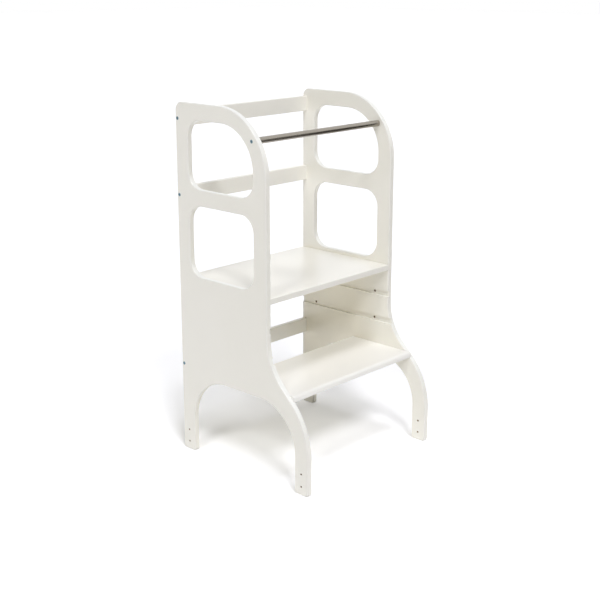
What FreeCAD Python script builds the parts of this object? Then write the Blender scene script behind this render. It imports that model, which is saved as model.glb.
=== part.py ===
import FreeCAD, Part
import math
import os
import Sketcher

# A toddler's kitchen helper stool: two cut-out side panels joined by three rails, a platform that
# has three heights, a step and a steel rod.
# Frame: millimetres, origin on the floor under the middle of the stool, +X to the right,
# +Y to the back, +Z up.

doc = FreeCAD.newDocument("KitchenHelper")
sizes = doc.addObject("Spreadsheet::Sheet", "sizes")

driving = {
    # whole stool
    "height": 900,
    "width": 468,
    "base_depth": 440,              # over the feet
    "top_depth": 308,               # over the upper part of a side panel
    "board": 15,                    # thickness of every board
    "edge_round": 2,                # along the edges of the rails, the platform and the step
    "edge_bevel": 2,                # along the edges of the side panels
    # side panel
    "leg_width": 43,
    "foot_radius": 8,
    "arch_height": 209,
    "arch_radius": 115,
    "flare_top": 297,               # the front edge bends outwards here
    "flare_bottom": 173,            # and down again here
    "flare_top_radius": 146,
    "flare_bottom_radius": 190,
    "back_corner_radius": 20,
    "crown_radius": 157,            # upper front corner
    "stile": 43,                    # upright strips beside the windows
    "band": 40,                     # level strips above and between the windows
    "lower_window_sill": 472,
    "lower_window_height": 180,
    "window_radius": 43,
    "window_crown_radius": 108,     # upper front corner of the upper window
    # holes near the feet, for fittings
    "leg_hole": 5,
    "leg_hole_height": 22,
    "leg_hole_pitch": 32,
    # rails
    "rail_height": 40,
    "top_rail_drop": 40,            # from the top of the panel to the middle of the rail
    "lower_rail_middle": 233,
    # platform and step
    "platform_top": 461,
    "platform_pitch": 73,           # from one platform height to the next
    "platform_dowel_inset": 48,     # from the platform's front and back edges
    "groove_depth": 5,
    "groove_fit": 0.3,              # room above a board in its groove
    "end_fit": 0.3,                 # room at a board's end in its groove
    "step_top": 238,
    "step_back": 188,               # from the panel's back edge to the step's
    "step_dowel_inset": 45,
    "nose_radius": 10,
    # steel rod
    "rod_diameter": 16,
    "rod_drop": 72,                 # from the top of the panel to the rod's axis
    "rod_setback": 45,              # from the upper front edge to the rod's axis
    "rod_chamfer": 1,
    # bolts and barrel nuts
    "bolt_diameter": 5,
    "bolt_length": 50,              # under the head, into a rail
    "rod_bolt_length": 30,          # under the head, into the rod
    "head_diameter": 8.5,
    "head_height": 5,
    "head_chamfer": 0.5,
    "socket_width": 4,              # across the flats
    "socket_depth": 2.5,
    "bolt_fit": 0.5,                # bolt in a plain hole, on the diameter
    "thread_fit": 0.2,              # bolt in a thread, on the diameter
    "tip_room": 3,                  # hole beyond the end of a bolt
    "nut_diameter": 10,
    "nut_length": 10,
    "nut_fit": 0.2,
    "nut_overrun": 4,               # bolt beyond the far side of its nut
    "nut_slot": 1.2,
    # wooden dowels
    "dowel_diameter": 6,
    "dowel_length": 30,
    "dowel_fit": 0.1,               # dowel in its hole, on the diameter
    "dowel_room": 0.3,              # hole beyond a dowel's end, in a rail or board
    "rail_dowel_bite": 9,           # dowel in the panel
    "rail_dowel_pitch": 24,
    "board_dowel_bite": 6,          # dowel below the floor of a groove
}
platformHeights = 3

for row, (name, millimetres) in enumerate(driving.items(), start=1):
    sizes.set(f"A{row}", name)
    sizes.set(f"B{row}", str(millimetres))
    sizes.setAlias(f"B{row}", name)
doc.recompute()


def size(name):
    return f"sizes.{name}"


def value(formula):
    return float(sizes.evalExpression(formula))


# Planes, edges and centres that several pieces share, as formulas on the sheet

outerFace = "sizes.width / 2"
innerFace = "(sizes.width / 2 - sizes.board)"
back = "sizes.base_depth / 2"
front = "-sizes.base_depth / 2"
upperFront = "(sizes.base_depth / 2 - sizes.top_depth)"
midBoard = "(sizes.base_depth / 2 - sizes.board / 2)"
lowerWindowTop = "(sizes.lower_window_sill + sizes.lower_window_height)"
upperWindowSill = f"({lowerWindowTop} + sizes.band)"
upperWindowTop = "(sizes.height - sizes.band)"
topRailMiddle = "(sizes.height - sizes.top_rail_drop)"
middleRailMiddle = f"({lowerWindowTop} + sizes.band / 2)"
lowerRailMiddle = "sizes.lower_rail_middle"
stepBottom = "(sizes.step_top - sizes.board)"
stepBack = "(sizes.base_depth / 2 - sizes.step_back)"
rodY = f"({upperFront} + sizes.rod_setback)"
rodZ = "(sizes.height - sizes.rod_drop)"

# The step's lower front edge lies on the slanted part of the panel's front edge
flareDepth = "(sizes.base_depth - sizes.top_depth)"
flareRise = "(sizes.flare_top - sizes.flare_bottom)"
stepFront = f"({upperFront} - {flareDepth} * (sizes.flare_top - {stepBottom}) / {flareRise})"

headSeat = "(sizes.board - sizes.head_height)"      # panel left under a bolt's head
boardReach = f"({innerFace} + sizes.groove_depth - sizes.end_fit)"
nutInset = f"(sizes.bolt_length - {headSeat} - sizes.nut_overrun - sizes.nut_diameter / 2)"

rails = {"top": topRailMiddle, "middle": middleRailMiddle, "lower": lowerRailMiddle}
sides = {"left": -1, "right": 1}

platformDowels = {
    "front": f"({upperFront} + sizes.platform_dowel_inset)",
    "back": "(sizes.base_depth / 2 - sizes.platform_dowel_inset)",
}
stepDowels = {
    "front": f"({stepFront} + sizes.step_dowel_inset)",
    "back": f"({stepBack} - sizes.step_dowel_inset)",
}
boardDowelZ = {"platform": "(sizes.platform_top - sizes.board / 2)",
               "step": "(sizes.step_top - sizes.board / 2)"}

pieces = []


# Ways of working: each one adds a feature whose sizes stay bound to the sheet

def newBody(label):
    body = doc.addObject("PartDesign::Body", label)
    body.Label = label
    pieces.append(body)
    return body


def newSketch(body, name, role, offset="0"):
    sketch = body.newObject("Sketcher::SketchObject", f"{body.Name}_{name}")
    plane = next(item for item in body.Origin.OriginFeatures if item.Role == role)
    sketch.AttachmentSupport = [(plane, "")]
    sketch.MapMode = "FlatFace"
    sketch.setExpression(".AttachmentOffset.Base.z", offset)
    return sketch


def bindConstraint(sketch, *constraint):
    *parts, formula = constraint
    index = sketch.addConstraint(Sketcher.Constraint(*parts, value(formula)))
    sketch.setExpression(f"Constraints[{index}]", formula)


def holdPoint(sketch, geometry, end, across=None, up=None):
    for kind, formula, axis in (("DistanceX", across, -2), ("DistanceY", up, -1)):
        if formula == "0":
            sketch.addConstraint(Sketcher.Constraint("PointOnObject", geometry, end, axis))
        elif formula:
            bindConstraint(sketch, kind, -1, 1, geometry, end, formula)


def drawOutline(sketch, corners):
    # corners: (across, up) formulas. Neighbours that share a formula lie level or upright.
    first = sketch.GeometryCount
    count = len(corners)
    points = [FreeCAD.Vector(value(across), value(up), 0) for across, up in corners]
    for index in range(count):
        sketch.addGeometry(Part.LineSegment(points[index], points[(index + 1) % count]))
    for index in range(count):
        line = first + index
        following = first + (index + 1) % count
        sketch.addConstraint(Sketcher.Constraint("Coincident", line, 2, following, 1))
        across, up = corners[index]
        nextAcross, nextUp = corners[(index + 1) % count]
        lastAcross, lastUp = corners[index - 1]
        if across == nextAcross:
            sketch.addConstraint(Sketcher.Constraint("Vertical", line))
        if up == nextUp:
            sketch.addConstraint(Sketcher.Constraint("Horizontal", line))
        holdPoint(sketch, line, 1,
                  across if across != lastAcross else None,
                  up if up != lastUp else None)


def drawRectangle(sketch, left, right, bottom, top):
    drawOutline(sketch, [(left, bottom), (right, bottom), (right, top), (left, top)])


def drawArch(sketch, left, right, bottom, top, radius):
    # a rectangle whose two upper corners are round
    first = sketch.GeometryCount
    r = value(radius)
    x1, x2, y1, y2 = value(left), value(right), value(bottom), value(top)
    upwards = FreeCAD.Vector(0, 0, 1)
    sketch.addGeometry([
        Part.LineSegment(FreeCAD.Vector(x1, y1, 0), FreeCAD.Vector(x1, y2 - r, 0)),
        Part.ArcOfCircle(Part.Circle(FreeCAD.Vector(x1 + r, y2 - r, 0), upwards, r),
                         math.pi / 2, math.pi),
        Part.LineSegment(FreeCAD.Vector(x1 + r, y2, 0), FreeCAD.Vector(x2 - r, y2, 0)),
        Part.ArcOfCircle(Part.Circle(FreeCAD.Vector(x2 - r, y2 - r, 0), upwards, r),
                         0, math.pi / 2),
        Part.LineSegment(FreeCAD.Vector(x2, y2 - r, 0), FreeCAD.Vector(x2, y1, 0)),
        Part.LineSegment(FreeCAD.Vector(x2, y1, 0), FreeCAD.Vector(x1, y1, 0)),
    ])
    leftSide, leftArc, topSide, rightArc, rightSide, floorSide = range(first, first + 6)
    for joint in (("Tangent", leftSide, 2, leftArc, 2), ("Tangent", leftArc, 1, topSide, 1),
                  ("Tangent", topSide, 2, rightArc, 2), ("Tangent", rightArc, 1, rightSide, 1),
                  ("Coincident", rightSide, 2, floorSide, 1),
                  ("Coincident", floorSide, 2, leftSide, 1),
                  ("Vertical", leftSide), ("Vertical", rightSide), ("Horizontal", floorSide),
                  ("Equal", leftArc, rightArc)):
        sketch.addConstraint(Sketcher.Constraint(*joint))
    holdPoint(sketch, leftSide, 1, left, bottom)
    holdPoint(sketch, rightSide, 2, across=right)
    holdPoint(sketch, topSide, 1, up=top)
    bindConstraint(sketch, "Radius", leftArc, radius)


def drawCircles(sketch, centres, diameter):
    for across, up in centres:
        centre = FreeCAD.Vector(value(across), value(up), 0)
        circle = Part.Circle(centre, FreeCAD.Vector(0, 0, 1), value(diameter) / 2)
        index = sketch.addGeometry(circle)
        holdPoint(sketch, index, 3, across, up)
        bindConstraint(sketch, "Diameter", index, diameter)


def finishFeature(body, feature, sketch):
    sketch.Visibility = False
    doc.recompute()
    if feature.Shape.isNull() or not feature.Shape.isValid():
        raise RuntimeError(f"{feature.Name} has no valid shape")
    body.Tip = feature


def pad(body, sketch, length):
    feature = body.newObject("PartDesign::Pad", f"{sketch.Name}_pad")
    feature.Profile = sketch
    feature.setExpression("Length", length)
    finishFeature(body, feature, sketch)


def pocket(body, sketch, depth=None, alongNormal=False):
    before = body.Shape.Volume
    feature = body.newObject("PartDesign::Pocket", f"{sketch.Name}_pocket")
    feature.Profile = sketch
    feature.Reversed = alongNormal
    if depth:
        feature.setExpression("Length", depth)
    else:
        feature.Type = "ThroughAll"
    finishFeature(body, feature, sketch)
    if body.Shape.Volume > before - 1:
        raise RuntimeError(f"{feature.Name} cuts nothing")


def revolve(body, sketch):
    feature = body.newObject("PartDesign::Revolution", f"{sketch.Name}_turned")
    feature.Profile = sketch
    feature.ReferenceAxis = (sketch, ["H_Axis"])
    finishFeature(body, feature, sketch)


def dressEdges(body, name, kind, amount, picked):
    # rounds or bevels the edges of the body that the test picks
    base = body.Tip
    names = [f"Edge{number}" for number, edge in enumerate(base.Shape.Edges, start=1)
             if picked(edge)]
    if not names:
        raise RuntimeError(f"{body.Name} has no edge for {name}")
    feature = body.newObject(f"PartDesign::{kind}", f"{body.Name}_{name}")
    feature.Base = (base, names)
    feature.setExpression("Radius" if kind == "Fillet" else "Size", amount)
    base.Visibility = False
    doc.recompute()
    body.Tip = feature


def alongX(edge, spots=None):
    # an edge that runs along X, at one of the (y, z) spots if these are given
    box = edge.BoundBox
    if box.XLength < 1 or box.YLength > 0.01 or box.ZLength > 0.01:
        return False
    if spots is None:
        return True
    return any(abs(box.YMin - value(y)) < 0.01 and abs(box.ZMin - value(z)) < 0.01
               for y, z in spots)


def roundCorners(body, name, radius, spots):
    dressEdges(body, name, "Fillet", radius, lambda edge: alongX(edge, spots))


def inPlane(edge, axis, formula):
    box = edge.BoundBox
    low, high = {"X": (box.XMin, box.XMax), "Y": (box.YMin, box.YMax)}[axis]
    return abs(low - value(formula)) < 0.01 and abs(high - value(formula)) < 0.01


def place(body, x, y, z, turn=0):
    # turn: degrees about the vertical
    body.Placement.Rotation = FreeCAD.Rotation(FreeCAD.Vector(0, 0, 1), turn)
    for axis, formula in (("x", x), ("y", y), ("z", z)):
        body.setExpression(f".Placement.Base.{axis}", formula)


# Side panels. Each one is cut from one board, whose edges are bevelled before its grooves and
# holes are cut. A radius gives way where the edges beside it grow too short for it.

def cornerRoom():
    # the sum of the flare's two radii at which their tangents would fill the slanted edge
    slope = f"sqrt({flareDepth} ^ 2 + {flareRise} ^ 2)"
    return f"{slope} * ({slope} + {flareRise}) / {flareDepth}"


def cutPanelShape(body, lowX):
    legBack = f"({back} - sizes.leg_width)"
    legFront = f"({front} + sizes.leg_width)"
    outline = newSketch(body, "outline", "YZ_Plane", lowX)
    drawOutline(outline, [
        (back, "0"), (back, size("height")), (upperFront, size("height")),
        (upperFront, size("flare_top")), (front, size("flare_bottom")), (front, "0"),
    ])
    pad(body, outline, size("board"))

    arch = newSketch(body, "arch", "YZ_Plane", lowX)
    span = f"({legBack} - {legFront})"
    drawArch(arch, legFront, legBack, "(-sizes.board)", size("arch_height"),
             f"min(sizes.arch_radius; 0.45 * {span}; 0.8 * sizes.arch_height)")
    pocket(body, arch, alongNormal=True)

    windowBack = f"({back} - sizes.stile)"
    windowFront = f"({upperFront} + sizes.stile)"
    windowDepth = f"({windowBack} - {windowFront})"
    upperWindowHeight = f"({upperWindowTop} - {upperWindowSill})"
    windowRadius = (f"min(sizes.window_radius; 0.45 * {windowDepth};"
                    f" 0.45 * {upperWindowHeight}; 0.45 * sizes.lower_window_height)")
    crownRadius = (f"min(sizes.window_crown_radius; {upperWindowHeight} - {windowRadius}"
                   f" - sizes.edge_bevel; {windowDepth} - {windowRadius} - sizes.edge_bevel)")
    windows = newSketch(body, "windows", "YZ_Plane", lowX)
    drawRectangle(windows, windowFront, windowBack, size("lower_window_sill"), lowerWindowTop)
    drawRectangle(windows, windowFront, windowBack, upperWindowSill, upperWindowTop)
    pocket(body, windows, alongNormal=True)

    roundCorners(body, "feet", size("foot_radius"),
                 [(back, "0"), (legBack, "0"), (legFront, "0"), (front, "0")])
    roundCorners(body, "flare_top", f"min(sizes.flare_top_radius; 0.4 * {cornerRoom()})",
                 [(upperFront, size("flare_top"))])
    roundCorners(body, "flare_bottom", f"min(sizes.flare_bottom_radius; 0.58 * {cornerRoom()})",
                 [(front, size("flare_bottom"))])
    roundCorners(body, "crown", size("crown_radius"), [(upperFront, size("height"))])
    roundCorners(body, "back_corner", size("back_corner_radius"), [(back, size("height"))])
    roundCorners(body, "windows_round", windowRadius, [
        (windowBack, size("lower_window_sill")), (windowFront, size("lower_window_sill")),
        (windowBack, lowerWindowTop), (windowFront, lowerWindowTop),
        (windowBack, upperWindowSill), (windowFront, upperWindowSill),
        (windowBack, upperWindowTop),
    ])
    roundCorners(body, "window_crown", crownRadius, [(windowFront, upperWindowTop)])
    highX = f"{lowX} + sizes.board"
    dressEdges(body, "edges", "Chamfer", size("edge_bevel"),
               lambda edge: inPlane(edge, "X", lowX) or inPlane(edge, "X", highX))


def cutGrooves(body, inside, intoBoard):
    pastBack = f"({back} + sizes.board)"
    pastFront = f"({front} - sizes.board)"
    platformGrooves = newSketch(body, "platform_grooves", "YZ_Plane", inside)
    for level in range(platformHeights):
        top = f"(sizes.platform_top - {level} * sizes.platform_pitch)"
        drawRectangle(platformGrooves, pastFront, pastBack,
                      f"({top} - sizes.board)", f"({top} + sizes.groove_fit)")
    pocket(body, platformGrooves, size("groove_depth"), intoBoard)

    grooveEnd = f"({stepBack} + sizes.end_fit)"
    grooveTop = "(sizes.step_top + sizes.groove_fit)"
    stepGroove = newSketch(body, "step_groove", "YZ_Plane", inside)
    drawRectangle(stepGroove, pastFront, grooveEnd, stepBottom, grooveTop)
    pocket(body, stepGroove, size("groove_depth"), intoBoard)
    roundCorners(body, "step_groove_end", size("edge_round"),
                 [(grooveEnd, stepBottom), (grooveEnd, grooveTop)])


def drillPanel(body, inside, outside, intoBoard):
    boardDowels = newSketch(body, "board_dowels", "YZ_Plane", inside)
    dowelHole = "(sizes.dowel_diameter + sizes.dowel_fit)"
    centres = [(y, boardDowelZ["step"]) for y in stepDowels.values()]
    for level in range(platformHeights):
        up = f"({boardDowelZ['platform']} - {level} * sizes.platform_pitch)"
        centres += [(y, up) for y in platformDowels.values()]
    drawCircles(boardDowels, centres, dowelHole)
    pocket(body, boardDowels, "(sizes.groove_depth + sizes.board_dowel_bite)", intoBoard)

    railDowels = newSketch(body, "rail_dowels", "YZ_Plane", inside)
    drawCircles(railDowels, [(midBoard, f"({middle} {sign} sizes.rail_dowel_pitch / 2)")
                             for middle in rails.values() for sign in "+-"], dowelHole)
    pocket(body, railDowels, size("rail_dowel_bite"), intoBoard)

    boltSpots = [(midBoard, middle) for middle in rails.values()] + [(rodY, rodZ)]
    boltHoles = newSketch(body, "bolt_holes", "YZ_Plane", inside)
    drawCircles(boltHoles, boltSpots, "(sizes.bolt_diameter + sizes.bolt_fit)")
    pocket(body, boltHoles, size("board"), intoBoard)
    headHoles = newSketch(body, "head_holes", "YZ_Plane", outside)
    drawCircles(headHoles, boltSpots, "(sizes.head_diameter + sizes.bolt_fit)")
    pocket(body, headHoles, size("head_height"), not intoBoard)

    legHoles = newSketch(body, "leg_holes", "YZ_Plane", inside)
    drawCircles(legHoles, [(leg, f"(sizes.leg_hole_height + {step} * sizes.leg_hole_pitch)")
                           for leg in (f"({back} - sizes.leg_width / 2)",
                                       f"({front} + sizes.leg_width / 2)")
                           for step in (0, 1)], size("leg_hole"))
    pocket(body, legHoles, size("board"), intoBoard)


def makeSidePanel(side, sign):
    body = newBody(f"{side}_side_panel")
    inside = f"{sign} * {innerFace}"
    outside = f"{sign} * {outerFace}"
    intoBoard = sign > 0            # the inner face's holes go towards +X in the right panel
    cutPanelShape(body, inside if sign > 0 else outside)
    cutGrooves(body, inside, intoBoard)
    drillPanel(body, inside, outside, intoBoard)


# Boards that cross from panel to panel

def drillBoardEnds(body, reach, centres, depth, diameter, name):
    for side, sign in sides.items():
        holes = newSketch(body, f"{name}_{side}", "YZ_Plane", f"{sign} * {reach}")
        drawCircles(holes, centres, diameter)
        pocket(body, holes, depth, sign < 0)


def drillDowels(body, reach, bite, centres):
    depth = f"(sizes.dowel_length - {bite} + sizes.dowel_room)"
    drillBoardEnds(body, reach, centres, depth,
                   "(sizes.dowel_diameter + sizes.dowel_fit)", "dowels")


def makeRail(name, middle):
    body = newBody(f"{name}_rail")
    section = newSketch(body, "section", "YZ_Plane", f"-{innerFace}")
    inside = f"({back} - sizes.board)"
    bottom = f"({middle} - sizes.rail_height / 2)"
    top = f"({middle} + sizes.rail_height / 2)"
    drawRectangle(section, inside, back, bottom, top)
    pad(body, section, f"2 * {innerFace}")
    dressEdges(body, "edges", "Fillet", size("edge_round"), alongX)

    # bores for the barrel nuts, from the back
    nutHoles = newSketch(body, "nut_holes", "XZ_Plane", f"-{back}")
    nutX = f"({innerFace} - {nutInset})"
    drawCircles(nutHoles, [(f"{sign} * {nutX}", middle) for sign in sides.values()],
                "(sizes.nut_diameter + sizes.nut_fit)")
    pocket(body, nutHoles, "(sizes.board / 2 + sizes.nut_length / 2)", True)

    boltReach = f"(sizes.bolt_length - {headSeat} + sizes.tip_room)"
    drillBoardEnds(body, innerFace, [(midBoard, middle)], boltReach,
                   "(sizes.bolt_diameter + sizes.bolt_fit)", "bolts")
    drillDowels(body, innerFace, size("rail_dowel_bite"),
                [(midBoard, f"({middle} {sign} sizes.rail_dowel_pitch / 2)") for sign in "+-"])


def boardBite():
    # how far a board's dowel stands out of the board's end
    return "(sizes.board_dowel_bite + sizes.end_fit)"


def makePlatform():
    body = newBody("platform")
    section = newSketch(body, "section", "YZ_Plane", f"-{boardReach}")
    drawRectangle(section, upperFront, back, "(sizes.platform_top - sizes.board)",
                  size("platform_top"))
    pad(body, section, f"2 * {boardReach}")
    dressEdges(body, "edges", "Fillet", size("edge_round"), alongX)
    drillDowels(body, boardReach, boardBite(),
                [(y, boardDowelZ["platform"]) for y in platformDowels.values()])


def makeStep():
    body = newBody("step")
    section = newSketch(body, "section", "YZ_Plane", f"-{boardReach}")
    drawRectangle(section, stepFront, stepBack, stepBottom, size("step_top"))
    pad(body, section, f"2 * {boardReach}")
    nose = [(stepFront, size("step_top"))]
    roundCorners(body, "nose", "min(sizes.nose_radius; sizes.board - sizes.edge_round - 0.5)", nose)
    roundCorners(body, "edges", size("edge_round"),
                 [(stepFront, stepBottom), (stepBack, stepBottom), (stepBack, size("step_top"))])
    drillDowels(body, boardReach, boardBite(),
                [(y, boardDowelZ["step"]) for y in stepDowels.values()])


# Steel rod, tapped at both ends

def makeRod():
    body = newBody("safety_rod")
    section = newSketch(body, "section", "YZ_Plane", f"-{innerFace}")
    drawCircles(section, [(rodY, rodZ)], size("rod_diameter"))
    pad(body, section, f"2 * {innerFace}")
    dressEdges(body, "ends", "Chamfer", size("rod_chamfer"),
               lambda edge: inPlane(edge, "X", innerFace) or inPlane(edge, "X", f"-{innerFace}"))
    depth = f"(sizes.rod_bolt_length - {headSeat} + sizes.tip_room)"
    drillBoardEnds(body, innerFace, [(rodY, rodZ)], depth,
                   "(sizes.bolt_diameter + sizes.thread_fit)", "threads")


# Fasteners. Each one is made along X from its own origin and then placed.

def makeBolt(label, length, side, y, z):
    body = newBody(label)
    headRadius = "sizes.head_diameter / 2"
    boltRadius = "sizes.bolt_diameter / 2"
    tip = f"(sizes.head_height + {length})"
    profile = newSketch(body, "profile", "XY_Plane")
    drawOutline(profile, [
        ("0", "0"), (tip, "0"), (tip, boltRadius), (size("head_height"), boltRadius),
        (size("head_height"), headRadius), (size("head_chamfer"), headRadius),
        ("0", f"({headRadius} - sizes.head_chamfer)"),
    ])
    revolve(body, profile)
    socket = newSketch(body, "socket", "YZ_Plane")
    half = "sizes.socket_width / 2"
    corner = "sizes.socket_width / sqrt(3)"
    drawOutline(socket, [
        (f"({half})", f"(-{corner} / 2)"), (f"({half})", f"({corner} / 2)"), ("0", f"({corner})"),
        (f"(-{half})", f"({corner} / 2)"), (f"(-{half})", f"(-{corner} / 2)"),
        ("0", f"(-{corner})"),
    ])
    pocket(body, socket, size("socket_depth"), True)
    sign = sides[side]
    place(body, f"{sign} * {outerFace}", y, z, 0 if sign < 0 else 180)


def makeNut(label, side, z):
    body = newBody(label)
    half = "sizes.nut_length / 2"
    barrel = newSketch(body, "barrel", "XZ_Plane", f"-{half}")
    drawCircles(barrel, [("0", "0")], size("nut_diameter"))
    pad(body, barrel, size("nut_length"))
    thread = newSketch(body, "thread", "YZ_Plane", "-sizes.nut_diameter")
    drawCircles(thread, [("0", "0")], "(sizes.bolt_diameter + sizes.thread_fit)")
    pocket(body, thread, alongNormal=True)
    slot = newSketch(body, "slot", "XZ_Plane", f"-{half}")
    drawRectangle(slot, "(-sizes.nut_diameter)", "(sizes.nut_diameter)",
                  "(-sizes.nut_slot / 2)", "(sizes.nut_slot / 2)")
    pocket(body, slot, size("nut_slot"), True)
    place(body, f"{sides[side]} * ({innerFace} - {nutInset})", midBoard, z)


def makeDowel(label, side, bite, y, z):
    # bite: how far the dowel goes past the inner face of the panel
    body = newBody(label)
    section = newSketch(body, "section", "YZ_Plane")
    drawCircles(section, [("0", "0")], size("dowel_diameter"))
    pad(body, section, size("dowel_length"))
    sign = sides[side]
    place(body, f"{sign} * ({innerFace} + {bite})", y, z, 0 if sign < 0 else 180)


for side, sign in sides.items():
    makeSidePanel(side, sign)
for name, middle in rails.items():
    makeRail(name, middle)
makePlatform()
makeStep()
makeRod()

for side in sides:
    for name, middle in rails.items():
        makeBolt(f"{name}_rail_bolt_{side}", size("bolt_length"), side, midBoard, middle)
        makeNut(f"{name}_rail_nut_{side}", side, middle)
        for level, sign in (("upper", "+"), ("lower", "-")):
            makeDowel(f"{name}_rail_dowel_{side}_{level}", side, size("rail_dowel_bite"),
                      midBoard, f"({middle} {sign} sizes.rail_dowel_pitch / 2)")
    makeBolt(f"rod_bolt_{side}", size("rod_bolt_length"), side, rodY, rodZ)
    bite = "(sizes.groove_depth + sizes.board_dowel_bite)"
    for end, y in platformDowels.items():
        makeDowel(f"platform_dowel_{side}_{end}", side, bite, y, boardDowelZ["platform"])
    for end, y in stepDowels.items():
        makeDowel(f"step_dowel_{side}_{end}", side, bite, y, boardDowelZ["step"])

doc.recompute()

for item in doc.Objects:
    if "Invalid" in item.State or "Error" in item.State:
        raise RuntimeError(f"{item.Label} failed to compute")
for piece in pieces:
    if piece.Shape.isNull() or not piece.Shape.isValid() or len(piece.Shape.Solids) != 1:
        raise RuntimeError(f"{piece.Label} isn't one valid solid")

os.makedirs("parts", exist_ok=True)
for piece in pieces:
    piece.Shape.exportStep(f"parts/{piece.Label}.step")
print(f"{len(pieces)} pieces written")
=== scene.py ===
import bpy
import bmesh
from math import radians
from mathutils import Matrix, Vector

# A toddler's kitchen stool in satin white paint, on a pale studio floor.
# Metres: +X to the right, +Y to the back, +Z up, the floor at 0.

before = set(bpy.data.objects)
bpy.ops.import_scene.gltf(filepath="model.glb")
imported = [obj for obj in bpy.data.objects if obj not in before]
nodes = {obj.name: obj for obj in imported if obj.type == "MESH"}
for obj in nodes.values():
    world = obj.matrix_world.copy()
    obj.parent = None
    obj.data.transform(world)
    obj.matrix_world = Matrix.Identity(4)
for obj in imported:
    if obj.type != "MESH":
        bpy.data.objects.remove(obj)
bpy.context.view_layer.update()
print("frame loaded:", len(nodes), "pieces")


# Shader sums written as plain Python: a Wire is the output of one node

class Wire:
    def __init__(self, sheet, socket):
        self.sheet = sheet
        self.socket = socket

    def maths(self, operation, *values, clamp=False):
        settings = {"operation": operation, "use_clamp": clamp}
        return self.sheet.node("ShaderNodeMath", settings, *values)

    def __add__(self, other):
        return self.maths("ADD", self, other)

    def __radd__(self, other):
        return self.maths("ADD", other, self)

    def __sub__(self, other):
        return self.maths("SUBTRACT", self, other)

    def __rsub__(self, other):
        return self.maths("SUBTRACT", other, self)

    def __mul__(self, other):
        return self.maths("MULTIPLY", self, other)

    def __rmul__(self, other):
        return self.maths("MULTIPLY", other, self)

    def __pow__(self, other):
        return self.maths("POWER", self, other)

    def __abs__(self):
        return self.maths("ABSOLUTE", self)

    def below(self, edge, softness):        # 1 well under the edge, 0 well over it
        return self.maths("MULTIPLY_ADD", self, -1 / softness, edge / softness + 0.5, clamp=True)

    def most(self, other):
        return self.maths("MAXIMUM", self, other)


class Sheet:                                # the nodes of one material, or of the world
    def __init__(self, owner):
        owner.use_nodes = True
        self.tree = owner.node_tree
        self.tree.nodes.clear()

    def plug(self, value, socket):
        if isinstance(value, Wire):
            self.tree.links.new(value.socket, socket)
        else:
            socket.default_value = value

    def node(self, kind, settings=None, *values, output=0, **named):
        item = self.tree.nodes.new(kind)
        for setting, value in (settings or {}).items():
            setattr(item, setting, value)
        for index, value in enumerate(values):
            self.plug(value, item.inputs[index])
        for key, value in named.items():
            self.plug(value, item.inputs[key.replace("_", " ")])
        return Wire(self, item.outputs[output])

    def blend(self, factor, first, second):
        colours = [value if isinstance(value, Wire) else (*value, 1) for value in (first, second)]
        item = self.node("ShaderNodeMix", {"data_type": "RGBA"}, output=2)
        sockets = item.socket.node.inputs
        for value, place in zip((factor, *colours), (0, 6, 7)):
            self.plug(value, sockets[place])
        return item

    def axes(self, vector):
        split = self.node("ShaderNodeSeparateXYZ", None, vector).socket.node
        return [Wire(self, out) for out in split.outputs]

    def place(self):
        return self.node("ShaderNodeTexCoord", output=3)

    def facing(self):
        return self.node("ShaderNodeTexCoord", output=1)

    def stretched(self, vector, *scale):
        return self.node("ShaderNodeMapping", None, Vector=vector, Scale=scale)

    def noise(self, vector, scale, detail=2, roughness=0.5, distortion=0):
        return self.node("ShaderNodeTexNoise", None, Vector=vector, Scale=scale, Detail=detail,
                         Roughness=roughness, Distortion=distortion)

    def bump(self, height, distance, strength, under=None):
        named = {"Normal": under} if under else {}
        return self.node("ShaderNodeBump", None, Height=height, Distance=distance,
                         Strength=strength, **named)

    def surface(self, shader):
        end = self.tree.nodes.new("ShaderNodeOutputMaterial")
        self.plug(shader, end.inputs[0])

    def principled(self, **named):
        self.surface(self.node("ShaderNodeBsdfPrincipled", None, **named))


def newMaterial(name):
    material = bpy.data.materials.new(name)
    return material, Sheet(material)


def finishWith(material, *names):
    for name in names:
        for slot in nodes[name].material_slots:
            slot.material = material


# Satin paint over birch plywood

paint = {
    "colour": (0.872, 0.850, 0.765),
    "shade": (0.852, 0.829, 0.736),         # where the roller left it a little thinner
    "edge": (0.884, 0.866, 0.792),          # painted highlight: rounded edges are painted brighter, where the round-over catches the light
    "paintedTopLight": (0.930, 0.932, 0.875),          # painted light: the panels' edges that face up are painted whitest, as if lit from above
    "bareWood": (0.50, 0.36, 0.215),        # inside the drilled holes
    "stepPaintedLight": (0.965, 0.955, 0.93),      # painted light: the step's paint is whiter, for the brighter light on it
    "stepPaintedLightShare": 0.36,
    "edgeHighlightShare": 0.55,
    "grainShare": 0.16,
    "grainDepth": 0.00005,
    "grainStrength": 0.35,
    "cloudScale": 3.2,                      # the roller's marks, in clouds to the metre
    "cloudEdge": (0.59, 0.42),
    "smudgeScale": 11,
    "peelScale": 340,                       # the fine texture that a roller leaves
    "peelDepth": 0.00006,
    "peelStrength": 0.3,
    "roughness": 0.36,
    "roughnessOf": {"smudge": 0.16, "peel": 0.05, "edge": -0.05, "bareWood": 0.35},
    "specular": 0.5,
    "lacquer": 0.9,
    "lacquerRoughness": 0.28,
}

# painted shade: between the boards, where little light reaches, the panels' inner faces are painted
# darker and warmer; metres, each limit with its fade
paintedShade = {
    "colour": (0.857, 0.812, 0.676),
    "inside": (0.2275, 0.002),              # across, from the middle
    "front": (-0.015, 0.09),
    "back": (0.213, 0.006),
    "bottom": (0.14, 0.09),
    "top": (0.462, 0.02),
}

bevel = {
    "outerMiddle": 0.233,                   # its two places across, from the middle
    "innerMiddle": 0.220,
    "halfDepth": 0.001,
    "halfWidth": 0.001414,
    "facing": (0.5, 0.2, 0.05),             # the square of its normal's X, the margin and the fade
}

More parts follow.
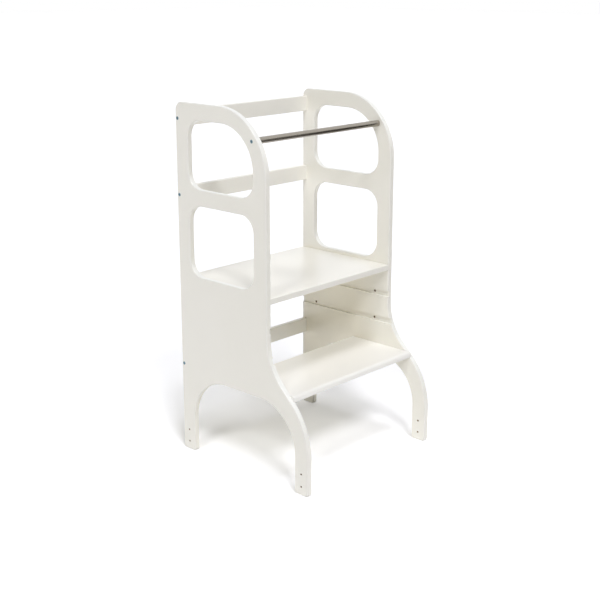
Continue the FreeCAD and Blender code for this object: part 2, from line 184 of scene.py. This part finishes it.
holes = {                                   # pairs, as (middle, half the distance) along Y and Z
    "legs": {"y": (0, 0.1985), "z": (0.038, 0.016), "radius": 0.0028},
    "grooves": {"y": (0.066, 0.106), "z": (0.344, 0.0365), "radius": 0.0033},
    "rim": 0.0003,                          # the soft edge of each hole
    "outerFace": (0.2338, 0.0002),          # the paint on the outer face stays whole
    "fibre": (900, 900, 90),
    "darkFibre": 0.55,
}


def holeMask(sheet, y, z, hole):
    middleY, halfY = hole["y"]
    middleZ, halfZ = hole["z"]
    away = ((abs(y - middleY) - halfY) ** 2 + (abs(z - middleZ) - halfZ) ** 2) ** 0.5
    return away.below(hole["radius"], holes["rim"])


def softenedBevel(sheet, x, nx, normal):
    # a side panel's flat bevel is shaded as a round-over
    fromOuter = abs(abs(x) - bevel["outerMiddle"])
    fromInner = abs(abs(x) - bevel["innerMiddle"])
    across = fromOuter.maths("MINIMUM", fromOuter, fromInner) * (1 / bevel["halfDepth"])
    middle, margin, fade = bevel["facing"]
    onBevel = abs(nx * nx - middle).below(margin, fade)
    curve = across.maths("MINIMUM", across, 1) ** 2 * onBevel * -0.5
    return sheet.bump(curve, bevel["halfWidth"], 1.0, normal)


# painted shade: the panels' inner faces between the step and the platform, under the platform
def paintedShadeMask(x, y, z):
    depth = y.below(*paintedShade["back"]) - y.below(*paintedShade["front"])
    height = z.below(*paintedShade["top"]) - z.below(*paintedShade["bottom"])
    return abs(x).below(*paintedShade["inside"]) * depth * height


def bareHoles(sheet, x, y, z):
    inHole = holeMask(sheet, y, z, holes["legs"]).most(holeMask(sheet, y, z, holes["grooves"]))
    return inHole * abs(x).below(*holes["outerFace"])


def paintedBoard(name, grain, sidePanel=False, paintedLightShare=0):
    # grain: how tightly the veneer's lines run along X, Y and Z
    material, sheet = newMaterial(name)
    place = sheet.place()
    x, y, z = sheet.axes(place)
    nx, ny, nz = sheet.axes(sheet.facing())

    cloud = sheet.noise(place, paint["cloudScale"], detail=4, roughness=0.6)
    veneer = sheet.noise(sheet.stretched(place, *grain), 1, detail=5, roughness=0.65,
                         distortion=0.4)
    colour = sheet.blend(cloud.below(*paint["cloudEdge"]), paint["shade"], paint["colour"])
    colour = sheet.blend(veneer * paint["grainShare"], colour, paint["shade"])
    # painted light: the step's paint is blended towards white, for the brighter light that falls on
    # it
    if paintedLightShare:
        colour = sheet.blend(paintedLightShare, colour, paint["stepPaintedLight"])
    if sidePanel:
        # painted shade: the inner faces between the boards are painted darker and warmer
        colour = sheet.blend(paintedShadeMask(x, y, z), colour, paintedShade["colour"])
        # painted light: the panels' faces that turn upwards, away from X, are painted whiter
        colour = sheet.blend(nz.most(0) * (1 - nx * nx), colour, paint["paintedTopLight"])

    # on a rounded edge the surface faces between two directions
    turned = nx * nx if sidePanel else ny * ny
    rounded = (turned * (1 - turned)) * 4
    # painted highlight: the rounded edges are painted brighter
    colour = sheet.blend(rounded * paint["edgeHighlightShare"], colour, paint["edge"])

    peel = sheet.noise(place, paint["peelScale"], detail=1.5)
    smudge = sheet.noise(place, paint["smudgeScale"], detail=5, roughness=0.7)
    share = paint["roughnessOf"]
    rough = paint["roughness"] + (smudge - 0.5) * share["smudge"] + (peel - 0.5) * share["peel"]
    rough = rough + rounded * share["edge"]
    normal = sheet.bump(veneer, paint["grainDepth"], paint["grainStrength"])
    normal = sheet.bump(peel, paint["peelDepth"], paint["peelStrength"], normal)

    if sidePanel:
        normal = softenedBevel(sheet, x, nx, normal)
        bare = bareHoles(sheet, x, y, z)
        fibre = sheet.noise(sheet.stretched(place, *holes["fibre"]), 1, detail=3)
        darkWood = [holes["darkFibre"] * c for c in paint["bareWood"]]
        colour = sheet.blend(bare, colour, sheet.blend(fibre, paint["bareWood"], darkWood))
        rough = rough + bare * share["bareWood"]
    sheet.principled(Base_Color=colour, Roughness=rough, Normal=normal,
                     Specular_IOR_Level=paint["specular"], Coat_Weight=paint["lacquer"],
                     Coat_Roughness=paint["lacquerRoughness"])
    return material


panelPaint = paintedBoard("panel_paint", (220, 220, 7), sidePanel=True)
railPaint = paintedBoard("rail_paint", (7, 200, 230))
boardPaint = paintedBoard("board_paint", (6, 210, 200))
stepPaint = paintedBoard("step_paint", (6, 210, 200), paintedLightShare=paint["stepPaintedLightShare"])
finishWith(panelPaint, "left_side_panel", "right_side_panel")
finishWith(railPaint, "top_rail", "middle_rail", "lower_rail")
finishWith(boardPaint, "platform")
finishWith(stepPaint, "step")
print("paint done")


# Stainless rod, brushed round

steel = {
    "light": (0.435, 0.405, 0.36),
    "dark": (0.29, 0.262, 0.22),
    "roughness": 0.24,
    "lineScale": (5200, 60, 60),            # brushing lines to the metre, round the rod
    "lineDepth": 0.000012,
    "lineStrength": 0.5,
    "lineShare": 0.6,
    "bandScale": (60, 4, 4),
    "bandShare": 0.3,
    "handledScale": 16,                     # where hands have been
    "roughnessOf": {"lines": 0.16, "handled": 0.14},
}


def brushedRod(name):
    material, sheet = newMaterial(name)
    place = sheet.place()
    lines = sheet.noise(sheet.stretched(place, *steel["lineScale"]), 1, detail=3, roughness=0.7)
    bands = sheet.noise(sheet.stretched(place, *steel["bandScale"]), 1, detail=3)
    handled = sheet.noise(place, steel["handledScale"], detail=4, roughness=0.6)
    darker = lines * steel["lineShare"] + bands * steel["bandShare"]
    colour = sheet.blend(darker, steel["light"], steel["dark"])
    share = steel["roughnessOf"]
    rough = steel["roughness"] + (lines - 0.5) * share["lines"] + (handled - 0.5) * share["handled"]
    normal = sheet.bump(lines, steel["lineDepth"], steel["lineStrength"])
    sheet.principled(Base_Color=colour, Metallic=1.0, Roughness=rough, Normal=normal)
    return material


finishWith(brushedRod("brushed_rod"), "safety_rod")
print("rod done")


# Bolts and barrel nuts, zinc with a blue finish; beech dowels

plating = {
    "light": (0.28, 0.41, 0.465),
    "dark": (0.108, 0.18, 0.215),
    "roughness": 0.34,
    "filmScale": 260,
    "turningScale": (2600, 140, 140),       # lines round the bolt, from the lathe
    "turningDepth": 0.00001,
    "turningStrength": 0.4,
    "roughnessOf": {"film": 0.25, "turning": 0.1},
}

beech = {
    "light": (0.66, 0.47, 0.29),
    "dark": (0.47, 0.30, 0.165),
    "roughness": 0.62,
    "fibreScale": (40, 1500, 1500),
    "fibreDepth": 0.00005,
    "fibreStrength": 0.5,
    "fibreRoughness": 0.2,
    "fleckScale": (300, 2600, 2600),
    "fleckEdge": (0.36, 0.1),
    "fleckShare": 0.5,
}


def platedMetal(name):
    material, sheet = newMaterial(name)
    place = sheet.place()
    film = sheet.noise(place, plating["filmScale"], detail=4, roughness=0.6)
    turning = sheet.noise(sheet.stretched(place, *plating["turningScale"]), 1, detail=2)
    colour = sheet.blend(film, plating["dark"], plating["light"])
    share = plating["roughnessOf"]
    rough = plating["roughness"] + (film - 0.5) * share["film"] + (turning - 0.5) * share["turning"]
    normal = sheet.bump(turning, plating["turningDepth"], plating["turningStrength"])
    sheet.principled(Base_Color=colour, Metallic=1.0, Roughness=rough, Normal=normal)
    return material


def beechDowel(name):
    material, sheet = newMaterial(name)
    place = sheet.place()
    fibre = sheet.noise(sheet.stretched(place, *beech["fibreScale"]), 1, detail=4, roughness=0.6)
    flecks = sheet.noise(sheet.stretched(place, *beech["fleckScale"]), 1, detail=1)
    colour = sheet.blend(fibre, beech["dark"], beech["light"])
    flecked = flecks.below(*beech["fleckEdge"]) * beech["fleckShare"]
    colour = sheet.blend(flecked, colour, beech["dark"])
    rough = beech["roughness"] + (fibre - 0.5) * beech["fibreRoughness"]
    normal = sheet.bump(fibre, beech["fibreDepth"], beech["fibreStrength"])
    sheet.principled(Base_Color=colour, Roughness=rough, Normal=normal)
    return material


plated = platedMetal("plated_metal")
dowels = beechDowel("beech_dowels")
for name in nodes:
    if "_bolt_" in name or "_nut_" in name:
        finishWith(plated, name)
    elif "_dowel_" in name:
        finishWith(dowels, name)
print("fasteners done")


# Studio

studio = {
    "floorSize": 60,
    "floorColour": (0.96, 0.955, 0.945),
    "floorMottle": {"scale": 2.5, "share": 0.2, "darker": 0.985},
    "floorGlow": (0.20, 0.205, 0.215),      # only for what the camera and reflections see
    "backdrop": (1.0, 0.965, 0.83),         # the bright paper behind the stool, as it lights it
    "backdropLight": 1.5,
    "backdropSide": (0.68, 0.73),           # its heading from the stool
    "backdropEnds": (-0.1, 0.5),            # where it fades, across that heading and upwards
    "backdropTop": (0.45, 0.5),
}

# soft lamps: where each one hangs, seen from the stool, its strength, its softness in degrees,
# its colour, and whether it shines on the gloss; the fill doesn't
lamps = {
    "window": {"from": (-1.0, -0.25, 1.0), "strength": 0.76, "softness": 13,
               "colour": (0.97, 0.98, 1.005), "shine": True},
    "front": {"from": (-0.47, -0.80, 1.0), "strength": 1.42, "softness": 13,
              "colour": (0.985, 0.99, 1.06), "shine": True},
    "overhead": {"from": (-0.05, -0.26, 1.0), "strength": 0.86, "softness": 14,
                 "colour": (0.97, 0.985, 1.10), "shine": True},
    "fill": {"from": (1.0, 0.30, 0.35), "strength": 0.30, "softness": 90,
             "colour": (1.0, 0.98, 0.97), "shine": False},
}

# black cards that only reflections see, for the dark line along the rod: one lies on the floor
# and one stands at its far end
flag = {
    "turn": -42.7,                          # heading from the stool, in degrees
    "near": 0.80,
    "far": 1.70,
    "left": 1.10,
    "right": -0.40,
    "foot": 0.004,                          # clear of the floor
    "height": 1.08,
    "colour": (0.12, 0.11, 0.10),
}

camera = {
    "place": (-2.003, -1.855, 1.193),
    "yaw": 46.82,                           # degrees, to the right of straight back
    "pitch": 15.08,                         # degrees, downwards
    "lens": 66.9,
    "sensor": 36,
    "shiftY": -0.04,
    "reach": 200,
}


def seen(sheet):
    # what the camera, mirrors and glass see, as against what lights the object
    path = sheet.node("ShaderNodeLightPath").socket.node.outputs
    cameraRay, glossy, through = (Wire(sheet, path[name]) for name in
                                  ("Is Camera Ray", "Is Glossy Ray", "Is Transmission Ray"))
    return cameraRay.most(glossy).most(through)


def makeFloor():
    mesh = bpy.data.meshes.new("studio_floor")
    shape = bmesh.new()
    bmesh.ops.create_grid(shape, x_segments=8, y_segments=8, size=studio["floorSize"] / 2)
    shape.to_mesh(mesh)
    shape.free()
    floor = bpy.data.objects.new("studio_floor", mesh)
    bpy.context.scene.collection.objects.link(floor)
    material, sheet = newMaterial("studio_floor")
    mottle = studio["floorMottle"]
    darker = [mottle["darker"] * c for c in studio["floorColour"]]
    patches = sheet.noise(sheet.place(), mottle["scale"], detail=3)
    colour = sheet.blend(patches * mottle["share"], studio["floorColour"], darker)
    matte = sheet.node("ShaderNodeBsdfDiffuse", None, Color=colour)
    glow = sheet.node("ShaderNodeEmission", None, (*studio["floorGlow"], 1), 1.0)
    lit = sheet.node("ShaderNodeAddShader", None, matte, glow)
    sheet.surface(sheet.node("ShaderNodeMixShader", None, seen(sheet), matte, lit))
    mesh.materials.append(material)


def makeFlag():
    mesh = bpy.data.meshes.new("studio_flag")
    shape = bmesh.new()
    along = (flag["near"], flag["far"], flag["far"])
    up = (flag["foot"], flag["foot"], flag["height"])
    rims = [[shape.verts.new((far, side, high)) for far, high in zip(along, up)]
            for side in (flag["right"], flag["left"])]
    for first, second in zip(*rims):
        shape.edges.new((first, second))
    bmesh.ops.contextual_create(shape, geom=[*rims[0][:2], *rims[1][:2]])
    bmesh.ops.contextual_create(shape, geom=[*rims[0][1:], *rims[1][1:]])
    bmesh.ops.rotate(shape, cent=(0, 0, 0), matrix=Matrix.Rotation(radians(flag["turn"]), 3, "Z"),
                     verts=shape.verts)
    shape.to_mesh(mesh)
    shape.free()
    card = bpy.data.objects.new("studio_flag", mesh)
    bpy.context.scene.collection.objects.link(card)
    for rays in ("camera", "diffuse", "transmission", "volume_scatter", "shadow"):
        setattr(card, f"visible_{rays}", False)
    material, sheet = newMaterial("studio_flag")
    sheet.surface(sheet.node("ShaderNodeBsdfDiffuse", None, Color=(*flag["colour"], 1)))
    mesh.materials.append(material)


def makeWorld():
    world = bpy.data.worlds.new("studio")
    bpy.context.scene.world = world
    sheet = Sheet(world)
    across, along, height = sheet.axes(sheet.node("ShaderNodeTexCoord"))
    sideX, sideY = studio["backdropSide"]
    away = across * -sideX - along * sideY
    behind = away.below(*studio["backdropEnds"]) * height.below(*studio["backdropTop"])
    room = sheet.node("ShaderNodeBackground", None, (*studio["backdrop"], 1),
                      behind * studio["backdropLight"])
    white = sheet.node("ShaderNodeBackground", None, (1, 1, 1, 1), 1.0)
    mixed = sheet.node("ShaderNodeMixShader", None, seen(sheet), room, white)
    end = sheet.tree.nodes.new("ShaderNodeOutputWorld")
    sheet.plug(mixed, end.inputs[0])


def makeLamp(name, settings):
    light = bpy.data.lights.new(name, "SUN")
    light.energy = settings["strength"]
    light.angle = radians(settings["softness"])
    light.color = settings["colour"]
    lamp = bpy.data.objects.new(name, light)
    lamp.rotation_euler = Vector(settings["from"]).to_track_quat("Z", "Y").to_euler()
    lamp.visible_glossy = settings["shine"]
    bpy.context.scene.collection.objects.link(lamp)


def makeCamera():
    lens = bpy.data.cameras.new("photo_camera")
    lens.sensor_width = camera["sensor"]
    lens.lens = camera["lens"]
    lens.shift_y = camera["shiftY"]
    lens.clip_end = camera["reach"]
    holder = bpy.data.objects.new("photo_camera", lens)
    holder.location = camera["place"]
    holder.rotation_euler = (radians(90 - camera["pitch"]), 0, radians(-camera["yaw"]))
    bpy.context.scene.collection.objects.link(holder)
    bpy.context.scene.camera = holder


makeFloor()
makeFlag()
makeWorld()
for name, settings in lamps.items():
    makeLamp(f"{name}_lamp", settings)
makeCamera()
bpy.context.scene.view_settings.view_transform = "Standard"
print("studio done")
